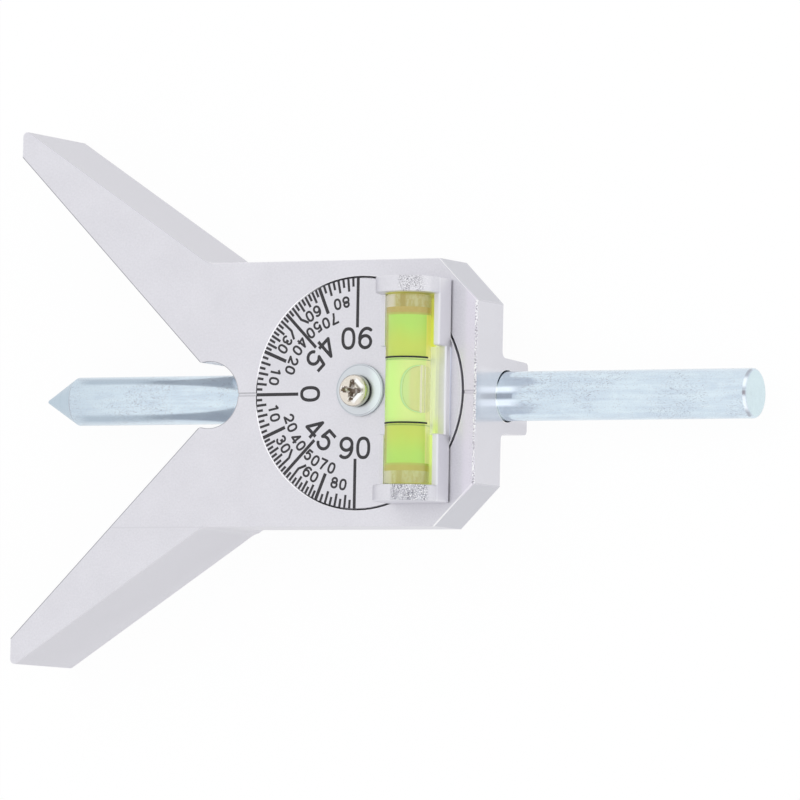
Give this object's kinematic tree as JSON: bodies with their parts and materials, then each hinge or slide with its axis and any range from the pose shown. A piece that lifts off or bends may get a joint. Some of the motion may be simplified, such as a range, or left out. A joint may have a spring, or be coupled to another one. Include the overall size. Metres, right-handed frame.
{
  "type": "pipe center finder",
  "caption": "Forked aluminium head that seats on a pipe with its V, with a punch sliding through its axis and a graduated dial with a level vial turning on its face.",
  "frame": {"origin": "on the back face that the tool lies on, straight under the dial's axis", "axes": "+X along the punch towards its struck end, +Y across the fork, +Z out of the graduated front face"},
  "size_m": [0.1775, 0.1206, 0.0392],
  "materials": {
    "head_casting": "satin, sand cast and tumbled",
    "dial_casting": "satin, with black filled scale marks",
    "scale_ink": "black filler in the scale marks",
    "punch_zinc": "bluish zinc plate over drawn bar",
    "screw_nickel": "warm nickel plate",
    "washer_zinc": "pale zinc plate",
    "spring_steel": "plain spring steel",
    "vial_clear": "clear acrylic",
    "vial_liquid": "yellow-green level liquid",
    "vial_sealant": "amber sealing compound"
  },
  "bodies": {
    "head": {"head_body": "head_casting", "dial_screw": "screw_nickel", "dial_washer": "washer_zinc", "wave_washer": "spring_steel"},
    "dial": {"dial": "dial_casting", "vial_tube": "vial_clear", "vial_liquid": "vial_liquid", "vial_plug_upper": "vial_clear", "vial_plug_lower": "vial_clear", "vial_seal_upper": "vial_sealant", "vial_seal_lower": "vial_sealant"},
    "punch": {"punch": "punch_zinc"}
  },
  "joints": [
    {"name": "dial_turn", "type": "hinge", "parent": "head", "child": "dial", "pos_m": [0, 0, 0.0254], "axis": [0, 0, 1], "continuous": true},
    {"name": "punch_slide", "type": "slide", "parent": "head", "child": "punch", "axis": [1, 0, 0], "range_m": [-0.055, 0.05]}
  ]
}
